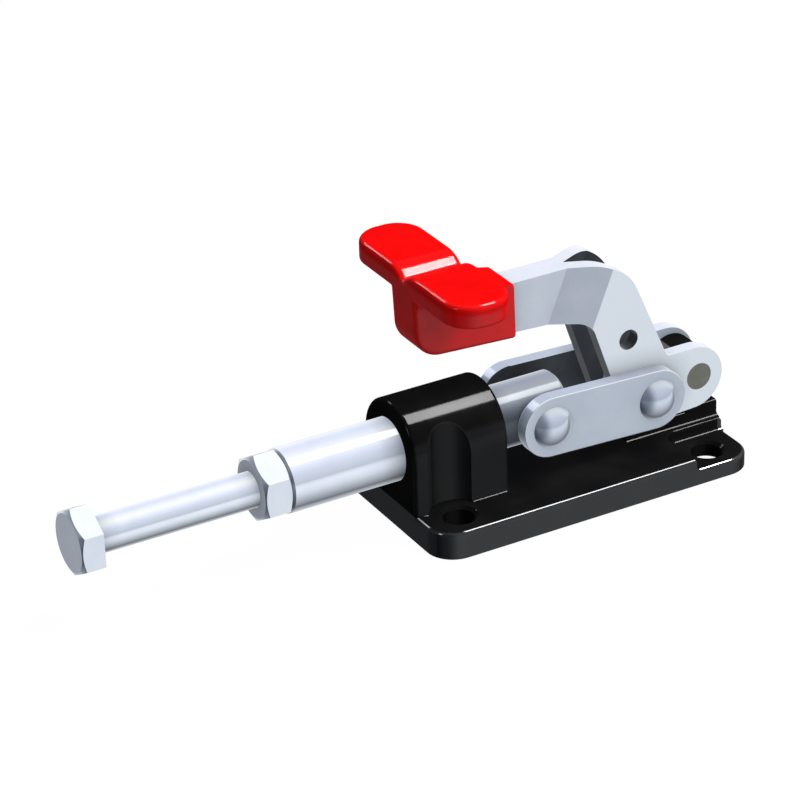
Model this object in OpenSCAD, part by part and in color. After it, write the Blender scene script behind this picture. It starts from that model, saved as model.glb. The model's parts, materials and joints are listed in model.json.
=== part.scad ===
// Push-pull toggle clamp: a cast base guides a plunger that carries an adjustable hexagon spindle,
// and a cranked two-plate handle drives the plunger through a pair of links.
// X is the push direction, Y points to the left of it and Z is up. Millimetres.
// The origin is the centre of the four mounting holes, on the underside of the base.

/* [Base plate] */
// Distance from the origin to the front face
base_front = 50.5; // [49:0.5:54]
// Distance from the origin to the rear end
base_rear = 50.5; // [50:0.5:52]
// Width across the plate
base_w = 55; // [53:0.5:60]
// Thickness of the plate
base_t = 8; // [7:0.5:9]
// Radius of the four corners, seen from above
corner_r = 8; // [6:0.5:9]
// Rounding of the upper edges
edge_r = 1.2; // [0.8:0.1:1.5]
// Hole spacing along the plunger
hole_dx = 80; // [79:0.5:81]
// Hole spacing across the plunger
hole_dy = 37; // [36:0.5:38]
// Diameter of the mounting holes
hole_d = 9; // [6:0.5:9]
// Width of the chamfer at the mouth of each hole
hole_chamfer = 0.9; // [0.5:0.1:1]
// Thickness of the two lowered pads at the rear corners
pad_t = 4.6; // [4.2:0.1:5.2]
// Length of each rear pad
pad_len = 19.8; // [18:0.1:21]
// Distance of the pads' inner walls from the middle plane
pad_y = 10.4; // [10.2:0.1:11]
// Radius of the fillet round the floor of each pad
pad_fillet_r = 1.2; // [0.8:0.1:1.5]

/* [Barrel and lug] */
// Height of the plunger's axis above the mounting face
axis_h = 22.7; // [22:0.1:23.5]
// Outer radius of the arched top
barrel_r = 14.1; // [13.5:0.1:14.5]
// Length of the barrel
barrel_len = 29; // [25:1:32]
// Radius of the upright pockets that clear the front screw heads
pocket_r = 8; // [7:0.1:8.2]
// Thickness of the lug between the handle's ears
lug_w = 10.4; // [9:0.1:10.4]
// Radius of the lug round the pivot
lug_r = 7.1; // [7:0.1:7.8]
// Half width of the shoulder that carries the lug
shoulder_w = 7.9; // [7.5:0.1:8]
// Radius of the fillet at the shoulder's foot
shoulder_foot_r = 1.5; // [1:0.1:1.6]
// Radius of the fillet at the barrel's foot
barrel_foot_r = 1; // [0.8:0.1:1.5]
// Rounding of the shoulder's and the pads' upper edges
lip_r = 0.8; // [0.5:0.1:0.8]

/* [Plunger and spindle] */
// Diameter of the plunger
plunger_d = 18; // [17:0.5:18]
// Distance from the origin to the plunger's front end
plunger_front = 84.2; // [80:1:90]
// Depth of the hole for the spindle
spindle_bore_len = 60; // [50:1:64]
// Diameter of the spindle
spindle_d = 10; // [8:1:10]
// Length of the spindle under its head
spindle_len = 80; // [70:5:100]
// Width across the flats of the spindle head and jam nut
hex_af = 17; // [15:1:18]
// Thickness of the spindle head
head_h = 6.4; // [5:0.1:8]
// Thickness of the jam nut
nut_h = 8; // [6:0.5:10]
// Free length of spindle between the jam nut and the head
spindle_reach = 46.4; // [30:0.2:50]

/* [Linkage] */
// Distance from the origin back to the fixed pivot
pivot_back = 43.4; // [43:0.1:44]
// Height of the fixed pivot
pivot_h = 22.5; // [22:0.1:23]
// Length of the crank, from the fixed pivot to the link rivet
crank_len = 16.35; // [15.5:0.05:16.8]
// Angle by which the locked crank has passed under the pivot line
over_centre = 3.7; // [2:0.1:5]
// Distance between the two rivets of a link
link_len = 34.1; // [33:0.1:36]
// Radius of the link's round ends
link_r = 8.9; // [8:0.1:9.2]
// Thickness of a link
link_t = 4; // [3:0.1:5]
// Diameter of the link rivets
rivet_d = 9; // [7:0.5:9]
// Diameter of the domed rivet heads
dome_d = 12; // [10:0.5:14]
// Height of the domed rivet heads
dome_h = 3.6; // [2.5:0.1:4.5]
// Diameter of the fixed pivot pin
pivot_d = 8; // [6:0.5:8]

/* [Handle plates] */
// Thickness of a handle plate
plate_t = 4; // [3.8:0.1:4]
// Radius of the ear round the fixed pivot
ear_r = 9.3; // [9:0.1:9.4]
// Distance by which the ear's centre lies ahead of the pivot
ear_lead = 1.6; // [1:0.1:2]
// Radius of the boss round the link rivet
boss_r = 9.2; // [8.5:0.1:9.4]
// Height of the arm's upper edge
arm_top = 64; // [62:0.5:66]
// Height of the arm's lower edge at its rear corner
arm_bottom = 48.2; // [47:0.1:49]
// Rounding of the shoulder where the arm turns down
shoulder_turn_r = 14.5; // [12:0.5:15]
// Angle of the rear edge below the shoulder
back_angle = 66.6; // [65:0.1:68]
// Angle of the front edge above the boss
front_angle = 70.8; // [70:0.1:72]
// Length along the clamp of the joggle that spreads the two plates
joggle_run = 10.9; // [9:0.1:12]
// Lean of the joggle's creases from the vertical
joggle_tilt = 22.3; // [20:0.1:25]
// Diameter of the open hole in each plate
plate_hole_d = 6; // [4:0.5:7]

/* [Grip] */
// Width across the two wings
wing_span = 58.6; // [50:0.2:64]
// Length of a wing along the clamp
wing_len = 18.9; // [17:0.1:20]
// Radius of the wings' outer corners
wing_r = 8.4; // [7:0.1:9]
// Height of the wings' underside
wing_z0 = 67.6; // [67:0.1:68]
// Height of the wings' top
wing_z1 = 74.2; // [73:0.1:75]
// Width of the sleeve over the plates
sleeve_w = 13; // [12:0.5:14]
// Height of the sleeve's underside at its rear end
sleeve_z0 = 48.9; // [48.5:0.1:49]
// Radius of the sleeve's lower front corner
sleeve_r = 8; // [6:0.5:9]
// Depth of the valley between the wings
valley_depth = 2.4; // [1.5:0.1:2.6]
// Width of the valley at its crisp edges
valley_w = 12.8; // [11:0.2:13]
// Radius of the fillets under the wings
root_r = 3; // [2:0.5:3]

/* [Hidden] */
$fn = 96;

// Radial clearance of a part that turns or slides in a bore
run = 0.05;
// Overlap that makes a fillet cross the face it runs into
dip = 0.04;
black = [0.07, 0.07, 0.075];
zinc = [0.76, 0.79, 0.84];
steel = [0.42, 0.42, 0.38];
red = [0.86, 0.04, 0.05];

pivot = [-pivot_back, pivot_h];
link_pin_at = pivot + crank_len * [cos(over_centre), -sin(over_centre)];
plunger_pin_at = [link_pin_at[0] + sqrt(pow(link_len, 2) - pow(axis_h - link_pin_at[1], 2)), axis_h];
plunger_rear = plunger_pin_at[0] - 8.5;
barrel_x0 = base_front - barrel_len;
pad_x1 = -base_rear + pad_len;
plates_out = 9.3;
spread = plates_out - plate_t;
link_in = plates_out + 0.1;
link_out = link_in + link_t;
ear_at = pivot + [ear_lead, -0.1];
shoulder_top = 12.6;
saddle_top = 11.2;
saddle_x1 = -20;
shoulder_x1 = -40;
nut_x0 = plunger_front;
head_x0 = nut_x0 + nut_h + spindle_reach;
arm_end = 18;
tang_end = 40;
tang_z = [52, 62];
sleeve_x0 = 14;
wing_x1 = 45.3;
sleeve_top = 65.4;
handle_rivet_d = 5;
handle_rivets_at = [[24, 56.5], [36, 56.5]];
plate_hole_at = [-19.9, 40.3];
joggle_at = [-6.6, 57];

function unit(v) = v / norm(v);

// Extrudes an outline drawn in X and Z from y0 to y1
module in_xz(y0, y1) translate([0, y1, 0]) rotate([90, 0, 0]) linear_extrude(y1 - y0) children();

// Extrudes an outline drawn in Y and Z from x0 to x1
module in_yz(x0, x1) translate([x0, 0, 0]) rotate([90, 0, 90]) linear_extrude(x1 - x0) children();

// Round bar along Y through a point of the XZ plane
module bar_y(at, d, y0, y1) translate([at[0], y1, at[1]]) rotate([90, 0, 0]) cylinder(d = d, h = y1 - y0);

// Round bar along X on the plunger's axis
module bar_x(d, x0, x1) translate([x0, 0, axis_h]) rotate([0, 90, 0]) cylinder(d = d, h = x1 - x0);

// Sliver between the corner p of an outline and the arc of radius r that rounds it.
// a and b are points on the two edges that meet there.
module corner_sliver(p, a, b, r) {
    u = unit(a - p);
    v = unit(b - p);
    half = acos(u * v) / 2;
    c = p + unit(u + v) * r / sin(half);
    difference() {
        polygon([p, p + u * r / tan(half), c, p + v * r / tan(half)]);
        translate(c) circle(r);
    }
}

// Rectangle with a round bar along each end corner, drawn from the origin
module soft_rect(w, h, r) {
    translate([r, 0]) square([w - 2 * r, h]);
    translate([0, r]) square([w, h - 2 * r]);
    for (x = [r, w - r], y = [r, h - r]) translate([x, y]) circle(r);
}

// Half section of the plate's rounded rim
module rim(t) {
    square([corner_r, t - edge_r]);
    square([corner_r - edge_r, t]);
    translate([corner_r - edge_r, t - edge_r]) circle(edge_r);
}

// Plate of thickness t with rounded corners and rounded upper edges
module slab(t) {
    cx = [-base_rear + corner_r, base_front - corner_r];
    cy = base_w / 2 - corner_r;
    translate([cx[0], -cy, 0]) cube([cx[1] - cx[0], 2 * cy, t]);
    for (s = [0, 1]) mirror([0, s, 0]) {
        in_yz(cx[0], cx[1]) translate([cy, 0]) rim(t);
        translate([cx[1], cy, 0]) rotate_extrude(angle = 90) rim(t);
        translate([cx[0], cy, 0]) rotate([0, 0, 90]) rotate_extrude(angle = 90) rim(t);
    }
    in_xz(-cy, cy) translate([cx[1], 0]) rim(t);
    in_xz(-cy, cy) translate([cx[0], 0]) mirror([1, 0]) rim(t);
}

// Section across a pad's wall at zero: rounded lip, upright wall, fillet and floor
module pad_section(reach) {
    translate([pad_fillet_r, pad_t]) square([reach - pad_fillet_r, base_t]);
    translate([0, pad_t + pad_fillet_r]) square([reach, base_t]);
    translate([pad_fillet_r, pad_t + pad_fillet_r]) circle(pad_fillet_r);
    translate([0, base_t]) rotate(180) foot(lip_r);
}

// Space above one lowered rear corner
module pad_space() {
    turn_r = 4;
    c = [pad_x1 - turn_r, pad_y + turn_r];
    in_yz(-2 * base_rear, c[0]) translate([pad_y, 0]) pad_section(base_w);
    in_xz(c[1], base_w) translate([pad_x1, 0]) mirror([1, 0]) pad_section(2 * base_rear);
    translate([c[0], c[1], 0]) rotate([0, 0, -90]) rotate_extrude(angle = 90) intersection() {
        translate([turn_r, 0]) mirror([1, 0]) pad_section(turn_r + 1);
        square([base_w, 3 * base_t]);
    }
}

// Everything round the floor of one pad that its rounded rim leaves free
module pad_surround() difference() {
    translate([-2 * base_rear, pad_y + pad_fillet_r, pad_t - edge_r])
        cube([2 * base_rear + pad_x1 - pad_fillet_r, base_w, base_t]);
    slab(pad_t);
}

module plate() difference() {
    slab(base_t);
    for (s = [0, 1]) mirror([0, s, 0]) {
        pad_space();
        pad_surround();
    }
}

// Concave fillet of radius r between an upright wall at zero and the plate's top
module foot(r) difference() {
    translate([-1, -1]) square([r + 1, r + 1]);
    translate([r - dip, r - dip]) circle(r);
}

// Section of the raised saddle that carries the lug
module saddle_section(top) {
    translate([-shoulder_w, base_t - 1]) square([2 * shoulder_w, top - base_t + 1 - lip_r]);
    translate([-shoulder_w + lip_r, base_t]) square([2 * (shoulder_w - lip_r), top - base_t]);
    for (s = [0, 1]) mirror([s, 0]) {
        translate([shoulder_w - lip_r, top - lip_r]) circle(lip_r);
        translate([shoulder_w, base_t]) foot(shoulder_foot_r);
    }
}

module saddle() {
    in_yz(-base_rear, shoulder_x1) saddle_section(shoulder_top);
    in_yz(shoulder_x1, saddle_x1) saddle_section(saddle_top);
}

module lug() in_xz(-lug_w / 2, lug_w / 2) {
    x1 = pivot[0] + lug_r;
    translate(pivot) circle(lug_r);
    polygon([[-base_rear, base_t + 1], [-base_rear, shoulder_top + 1], [pivot[0] - lug_r, pivot[1]],
        [x1, pivot[1]], [x1, base_t + 1]]);
    corner_sliver([x1, saddle_top], [x1, pivot[1]], [saddle_x1, saddle_top], 3);
}

// Arched guide: a half round on an upright block, with its end edges rounded
module barrel() {
    translate([barrel_x0, 0, axis_h]) rotate([0, 90, 0]) rotate([0, 0, 90]) rotate_extrude(angle = 180)
        intersection() {
            translate([-barrel_r, 0]) soft_rect(2 * barrel_r, barrel_len, edge_r);
            square([barrel_r, barrel_len]);
        }
    translate([barrel_x0, -barrel_r, base_t - 3]) linear_extrude(axis_h - base_t + 3)
        soft_rect(barrel_len, 2 * barrel_r, edge_r);
    barrel_foot();
}

module barrel_foot() for (s = [0, 1]) mirror([0, s, 0]) translate([0, 0, base_t]) {
    in_yz(barrel_x0 + edge_r, base_front - edge_r) translate([barrel_r, 0]) foot(barrel_foot_r);
    in_xz(0, barrel_r - edge_r) translate([barrel_x0, 0]) mirror([1, 0]) foot(barrel_foot_r);
    translate([barrel_x0 + edge_r, barrel_r - edge_r, 0]) rotate([0, 0, 90]) rotate_extrude(angle = 90)
        intersection() {
            translate([edge_r, 0]) foot(barrel_foot_r);
            translate([0, -base_t]) square(2 * base_t);
        }
}

module mounting_holes() for (x = [-1, 1] * hole_dx / 2, y = [-1, 1] * hole_dy / 2) translate([x, y, 0]) {
    mouth = x > 0 ? base_t : pad_t;
    translate([0, 0, -1]) cylinder(d = hole_d, h = base_t + 2);
    translate([0, 0, mouth - hole_chamfer])
        cylinder(d1 = hole_d, d2 = hole_d + 4 * hole_chamfer, h = 2 * hole_chamfer);
}

module base_casting() color(black) difference() {
    union() {
        plate();
        saddle();
        lug();
        barrel();
    }
    bar_x(plunger_d + 2 * run, barrel_x0 - 8, base_front + 1);
    bar_y(pivot, pivot_d + 4, -lug_w, lug_w);
    for (y = [-1, 1] * hole_dy / 2) translate([hole_dx / 2, y, base_t]) cylinder(r = pocket_r, h = 2 * axis_h);
    mounting_holes();
}

module pivot_bush() color(steel) difference() {
    bar_y(pivot, pivot_d + 4, -lug_w / 2, lug_w / 2);
    bar_y(pivot, pivot_d + 2 * run, -lug_w, lug_w);
}

module pivot_pin() color(steel) bar_y(pivot, pivot_d, -plates_out, plates_out);

// Turned bar, chamfered at both ends, bored for the spindle and cross-drilled for its rivet
module plunger() color(zinc) difference() {
    translate([0, 0, axis_h]) rotate([0, 90, 0]) rotate_extrude() polygon([[0, plunger_rear],
        [plunger_d / 2 - 1, plunger_rear], [plunger_d / 2, plunger_rear + 1],
        [plunger_d / 2, plunger_front - 0.6], [plunger_d / 2 - 0.6, plunger_front], [0, plunger_front]]);
    bar_x(spindle_d + 2 * run, plunger_front - spindle_bore_len, plunger_front + 1);
    bar_y(plunger_pin_at, rivet_d + 2 * run, -plunger_d, plunger_d);
}

// Hexagon along X from x = 0 to h, with a corner up and its corners turned off at the chosen ends
module hexagon(h, front, rear) {
    mouth_r = 0.475 * hex_af;
    slope = sqrt(3);
    rotate([0, 90, 0]) intersection() {
        cylinder(d = hex_af / cos(30), h = h, $fn = 6);
        if (front) cylinder(r1 = mouth_r + h * slope, r2 = mouth_r, h = h);
        if (rear) cylinder(r1 = mouth_r, r2 = mouth_r + h * slope, h = h);
    }
}

module spindle_bolt() color(zinc) {
    tip = head_x0 - spindle_len;
    translate([0, 0, axis_h]) rotate([0, 90, 0]) rotate_extrude() polygon([[0, tip], [spindle_d / 2 - 1, tip],
        [spindle_d / 2, tip + 1], [spindle_d / 2, head_x0 + 1], [0, head_x0 + 1]]);
    translate([head_x0, 0, axis_h]) hexagon(head_h, true, false);
}

module jam_nut() color(zinc) difference() {
    translate([nut_x0, 0, axis_h]) intersection() {
        hexagon(nut_h, true, false);
        hexagon(nut_h, false, true);
    }
    bar_x(spindle_d + 2 * run, nut_x0 - 1, nut_x0 + nut_h + 1);
}

module link() difference() {
    rise = asin((axis_h - link_pin_at[1]) / link_len);
    in_xz(link_in, link_out) translate(link_pin_at) rotate(rise) {
        translate([0, -link_r]) square([link_len, 2 * link_r]);
        for (x = [0, link_len]) translate([x, 0]) circle(link_r);
    }
    for (p = [link_pin_at, plunger_pin_at]) bar_y(p, rivet_d, link_in - 1, link_out + 1);
}

module link_left() color(zinc) link();

module link_right() color(zinc) mirror([0, 1, 0]) link();

// Domed head on a link's outer face
module dome(at) {
    ball_r = (pow(dome_d / 2, 2) + pow(dome_h, 2)) / (2 * dome_h);
    translate([at[0], link_out, at[1]]) rotate([-90, 0, 0]) rotate_extrude() intersection() {
        translate([0, dome_h - ball_r]) circle(ball_r);
        square([dome_d, dome_h]);
    }
}

module plunger_rivet() color(zinc) {
    bar_y(plunger_pin_at, rivet_d, -link_out, link_out);
    for (s = [0, 1]) mirror([0, s, 0]) dome(plunger_pin_at);
}

module link_rivet_head() {
    bar_y(link_pin_at, rivet_d, link_in, link_out);
    dome(link_pin_at);
}

module link_rivet_head_left() color(zinc) link_rivet_head();

module link_rivet_head_right() color(zinc) mirror([0, 1, 0]) link_rivet_head();

module link_pin() color(steel) bar_y(link_pin_at, rivet_d, -plates_out, plates_out);

module link_spacer() color(zinc) difference() {
    bar_y(link_pin_at, rivet_d + 3, -spread, spread);
    bar_y(link_pin_at, rivet_d, -plates_out, plates_out);
}

// Outline of a handle plate: ear, boss, cranked neck, arm and the narrower tang inside the grip
module plate_outline() {
    ear_top = ear_at[1] + ear_r;
    notch = [-32.7, ear_top];
    turn = [notch[0] + (arm_top - ear_top) / tan(back_angle), arm_top];
    foot_at = link_pin_at + boss_r * [sin(front_angle), -cos(front_angle)];
    inner = [foot_at[0] + (arm_bottom - foot_at[1]) / tan(front_angle), arm_bottom];
    arm_low = [arm_end, arm_bottom + 1.3];
    difference() {
        polygon([[arm_end, arm_top], turn, notch, ear_at + [0, ear_r], ear_at - [0, ear_r],
            link_pin_at - [0, boss_r], foot_at, inner, arm_low]);
        corner_sliver(turn, [arm_end, arm_top], notch, shoulder_turn_r);
    }
    corner_sliver(inner, foot_at, arm_low, 5);
    corner_sliver(notch, turn, ear_at + [0, ear_r], 2);
    translate(ear_at) circle(ear_r);
    translate(link_pin_at) circle(boss_r);
    translate([arm_end - 1, tang_z[0]]) square([tang_end - arm_end + 1, tang_z[1] - tang_z[0]]);
}

// Sheet of even thickness that steps outwards by the spread of the plates, along leaning creases
module joggled_sheet() {
    bend = atan(spread / joggle_run);
    lag = plate_t * tan(bend / 2);
    n1 = joggle_run / 2;
    far = 90;
    translate([joggle_at[0], 0, joggle_at[1]]) rotate([0, -joggle_tilt, 0]) linear_extrude(2 * far, center = true)
        polygon([[far, plate_t], [n1, plate_t], [-n1, plates_out], [-far, plates_out],
            [-far, spread], [-n1 - lag, spread], [n1 - lag, 0], [far, 0]]);
}

module handle_plate() difference() {
    intersection() {
        in_xz(0, plates_out) plate_outline();
        joggled_sheet();
    }
    bar_y(pivot, pivot_d, -1, plates_out + 1);
    bar_y(link_pin_at, rivet_d, -1, plates_out + 1);
    bar_y(plate_hole_at, plate_hole_d, -1, plates_out + 1);
    for (p = handle_rivets_at) bar_y(p, handle_rivet_d, -1, plates_out + 1);
}

module handle_plate_left() color(zinc) handle_plate();

module handle_plate_right() color(zinc) mirror([0, 1, 0]) handle_plate();

module handle_rivet(at) color(steel) bar_y(at, handle_rivet_d, -plate_t, plate_t);

module handle_rivet_front() handle_rivet(handle_rivets_at[1]);

module handle_rivet_rear() handle_rivet(handle_rivets_at[0]);

// Disc along Z from z = 0 to h with rounded rims
module puck(r, h, e) rotate_extrude($fn = 32) intersection() {
    translate([-r, 0]) soft_rect(2 * r, h, e, $fn = 16);
    square([r, h]);
}

// Disc along Y, centred on the clamp's middle plane
module puck_y(at, r, w, e) translate([at[0], w / 2, at[1]]) rotate([90, 0, 0]) puck(r, w, e);

module wings() hull() for (s = [-1, 1]) {
    for (x = [wing_x1 - wing_len + wing_r, wing_x1 - wing_r])
        translate([x, s * (wing_span / 2 - wing_r), wing_z0]) puck(wing_r, wing_z1 - wing_z0, 1.2);
    for (x = [wing_x1 - wing_len + 2, wing_x1 - 2])
        translate([x, s * 8, wing_z0]) puck(2, wing_z1 - wing_z0, 1.2);
}

module sleeve() hull() {
    nose = wing_x1 - 0.5;
    puck_y([nose - sleeve_r, sleeve_z0 + 0.9 + sleeve_r], sleeve_r, sleeve_w, 1.6);
    puck_y([wing_x1 - 3, wing_z0 + 1], 3, sleeve_w, 1.6);
    puck_y([sleeve_x0 + 1, sleeve_z0 + 1], 1, sleeve_w, 0.8);
    puck_y([sleeve_x0 + 1.8, sleeve_top - 1.4], 1.4, sleeve_w, 1.2);
}

module grip() color(red) difference() {
    valley_r = (pow(valley_w / 2, 2) + pow(valley_depth, 2)) / (2 * valley_depth);
    union() {
        wings();
        sleeve();
        for (s = [0, 1]) mirror([0, s, 0]) in_yz(wing_x1 - wing_len + 1.5, wing_x1 - 1.5)
            translate([sleeve_w / 2, wing_z0]) mirror([0, 1]) foot(root_r);
    }
    translate([0, 0, wing_z1 - valley_depth + valley_r]) rotate([0, 90, 0])
        cylinder(r = valley_r, h = 2 * wing_x1);
    in_xz(-plate_t, plate_t) plate_outline();
}

base_casting();
pivot_bush();
plunger();
spindle_bolt();
jam_nut();
link_left();
link_right();
plunger_rivet();
link_rivet_head_left();
link_rivet_head_right();
link_pin();
link_spacer();
handle_plate_left();
handle_plate_right();
handle_rivet_front();
handle_rivet_rear();
pivot_pin();
grip();
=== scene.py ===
# %% [markdown]
# # Dressing a push-pull toggle clamp
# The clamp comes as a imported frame: every solid is in place, at its real size, in metres. Here it gets its
# finishes, its finest edges, a camera and a small photo studio. Each part starts with a few words on what it is
# on the real clamp and how it could be made, and then comes the code.

# %% Load the frame
import json
import math

import bmesh
import bpy
from mathutils import Matrix, Vector

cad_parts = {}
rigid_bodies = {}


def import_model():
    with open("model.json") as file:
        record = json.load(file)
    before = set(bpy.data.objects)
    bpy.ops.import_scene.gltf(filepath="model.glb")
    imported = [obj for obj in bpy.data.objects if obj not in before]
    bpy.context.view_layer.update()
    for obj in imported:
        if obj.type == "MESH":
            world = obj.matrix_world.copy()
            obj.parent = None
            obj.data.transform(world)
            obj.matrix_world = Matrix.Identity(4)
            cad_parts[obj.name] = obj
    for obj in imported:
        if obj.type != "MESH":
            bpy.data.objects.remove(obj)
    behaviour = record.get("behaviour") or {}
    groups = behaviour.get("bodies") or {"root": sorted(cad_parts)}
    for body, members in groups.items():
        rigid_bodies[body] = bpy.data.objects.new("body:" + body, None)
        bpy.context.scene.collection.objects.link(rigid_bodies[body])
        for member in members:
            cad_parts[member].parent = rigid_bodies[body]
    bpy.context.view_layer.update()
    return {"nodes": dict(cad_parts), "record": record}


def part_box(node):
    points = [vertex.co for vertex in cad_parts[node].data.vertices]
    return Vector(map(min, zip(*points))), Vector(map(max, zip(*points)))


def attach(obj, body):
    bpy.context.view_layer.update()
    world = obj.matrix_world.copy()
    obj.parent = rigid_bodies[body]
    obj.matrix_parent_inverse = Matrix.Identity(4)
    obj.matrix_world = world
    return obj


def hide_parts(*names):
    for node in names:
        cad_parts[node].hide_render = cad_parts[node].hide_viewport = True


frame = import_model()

nodes = frame["nodes"]
MM = 0.001

# %% [markdown]
# ## The camera
# The photograph was taken from the clamp's front left and a little above, with a long lens: parallel edges
# almost stay parallel. A camera could be turned by hand until the picture looks right. Here its place comes from
# four numbers instead, azimuth, elevation, roll and distance, because they can be corrected one at a time. At
# azimuth 0 it looks along +Y.

# %% Camera
PICTURE_PX = 800
SENSOR_MM = 36
azimuth = math.radians(151.217)
elevation = math.radians(27.805)
roll = math.radians(-1.724)
distance = 877.27 * MM
focal_px = 3281.4
target = Vector((46.78, 0, 36.45)) * MM

towards_camera = Vector((math.sin(azimuth) * math.cos(elevation),
                         -math.cos(azimuth) * math.cos(elevation),
                         math.sin(elevation)))
level_right = Vector((0, 0, 1)).cross(towards_camera).normalized()
level_up = towards_camera.cross(level_right)
right = math.cos(roll) * level_right + math.sin(roll) * level_up
up = math.cos(roll) * level_up - math.sin(roll) * level_right

camera_data = bpy.data.cameras.new("camera")
camera_data.sensor_width = SENSOR_MM
camera_data.lens = focal_px / PICTURE_PX * SENSOR_MM
camera_data.clip_start = 0.05
camera = bpy.data.objects.new("camera", camera_data)
bpy.context.scene.collection.objects.link(camera)
camera.matrix_world = Matrix((right, up, towards_camera)).transposed().to_4x4()
camera.location = target + distance * towards_camera
bpy.context.scene.camera = camera
print("lens", round(camera_data.lens, 1), "mm, camera at", [round(v, 3) for v in camera.location])

# %% [markdown]
# ## Shader maths as Python
# Wiring Math nodes by hand hides the formula in a maze of boxes. One small class wraps a socket, and Python's
# own operators then add the nodes, so a mask can be written as 1 - dust * 0.4 and read again later.

# %% Sockets that can be added and multiplied
class Value:
    """An output socket in a material's node tree."""

    def __init__(self, material, socket):
        self.material = material
        self.socket = socket

    def math(self, operation, *others):
        return self.material.node("Math", {"operation": operation}, [self, *others])

    def __add__(self, other):
        return self.math("ADD", other)

    __radd__ = __add__

    def __sub__(self, other):
        return self.math("SUBTRACT", other)

    def __rsub__(self, other):
        return self.material.node("Math", {"operation": "SUBTRACT"}, [other, self])

    def __mul__(self, other):
        return self.math("MULTIPLY", other)

    __rmul__ = __mul__

    def __truediv__(self, other):
        return self.math("DIVIDE", other)

    def __pow__(self, other):
        return self.math("POWER", other)

    def step(self, low, high):
        """Rises smoothly from 0 at low to 1 at high."""
        return self.material.node("MapRange", {"interpolation_type": "SMOOTHSTEP"},
                                  {"Value": self, "From Min": low, "From Max": high})


class Finish:
    """A material with one Principled shader, built up by calls."""

    def __init__(self, name, **constants):
        self.material = bpy.data.materials.new(name)
        self.material.use_nodes = True
        self.tree = self.material.node_tree
        self.shader = self.tree.nodes["Principled BSDF"]
        for socket, value in constants.items():
            self.shader.inputs[socket.replace("_", " ")].default_value = value
        self.place = self.node("TexCoord", output="Object")

    def node(self, kind, settings=None, inputs=None, output=0):
        """Adds a node: its settings first, then a value or a link for each named or numbered socket."""
        node = self.tree.nodes.new(kind if "Node" in kind else "ShaderNode" + kind)
        for key, value in (settings or {}).items():
            setattr(node, key, value)
        pairs = inputs.items() if isinstance(inputs, dict) else enumerate(inputs or [])
        for key, value in pairs:
            self.join(node.inputs[key], value)
        return Value(self, node.outputs[output])

    def outputs(self, kind, inputs, *labels):
        """Adds a node and returns several of its outputs."""
        sockets = self.node(kind, None, inputs).socket.node.outputs
        return [Value(self, sockets[label]) for label in labels]

    def join(self, socket, value):
        if isinstance(value, Value):
            self.tree.links.new(value.socket, socket)
        else:
            socket.default_value = value

    def noise(self, size_mm, detail=2.0, roughness=0.5, stretch=(1, 1, 1)):
        """Noise whose blobs are about size_mm across. stretch makes them longer along an axis."""
        scale = [1 / s for s in stretch]
        where = self.node("Mapping", None, {"Vector": self.place, "Scale": scale})
        return self.node("TexNoise", None, {"Vector": where, "Scale": 1 / (size_mm * MM), "Detail": detail,
                                            "Roughness": roughness}, output="Fac")

    def axis(self, letter):
        """One coordinate of the place on the piece, in metres."""
        return self.node("SeparateXYZ", None, {"Vector": self.place}, output=letter)

    def blend(self, amount, first, second):
        return self.node("Mix", {"data_type": "RGBA"}, {0: amount, 6: first, 7: second}, output=2)

    def multiply(self, colour, red, green=None, blue=None):
        """A colour times one number, or times one for each channel."""
        factors = [red, red if green is None else green, red if blue is None else blue]
        return self.node("Mix", {"data_type": "RGBA", "blend_type": "MULTIPLY"},
                         {0: 1.0, 6: colour, 7: self.node("CombineColor", None, factors)}, output=2)

    def bump(self, height, depth_mm, strength=1.0, under=None):
        """A Bump node: height 0 to 1 stands for depth_mm. under is a bump that lies beneath it."""
        inputs = {"Height": height, "Distance": depth_mm * MM, "Strength": strength}
        if under is not None:
            inputs["Normal"] = under
        return self.node("Bump", None, inputs)

    def set(self, socket, value):
        self.join(self.shader.inputs[socket], value)

    def cover(self, share, shader):
        """Lays another shader over the material's own, as far as share says."""
        both = self.node("MixShader", None, [share, Value(self, self.shader.outputs[0]), shader])
        self.join(self.tree.nodes["Material Output"].inputs["Surface"], both)

    def glaze(self, share, roughness, normal):
        """Lays a colourless mirror over the shader, which returns the same small share at every angle."""
        self.cover(share, self.node("BsdfPrincipled", None, {"Base Color": (1, 1, 1, 1), "Metallic": 1,
                                                             "Roughness": roughness, "Normal": normal}))
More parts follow.
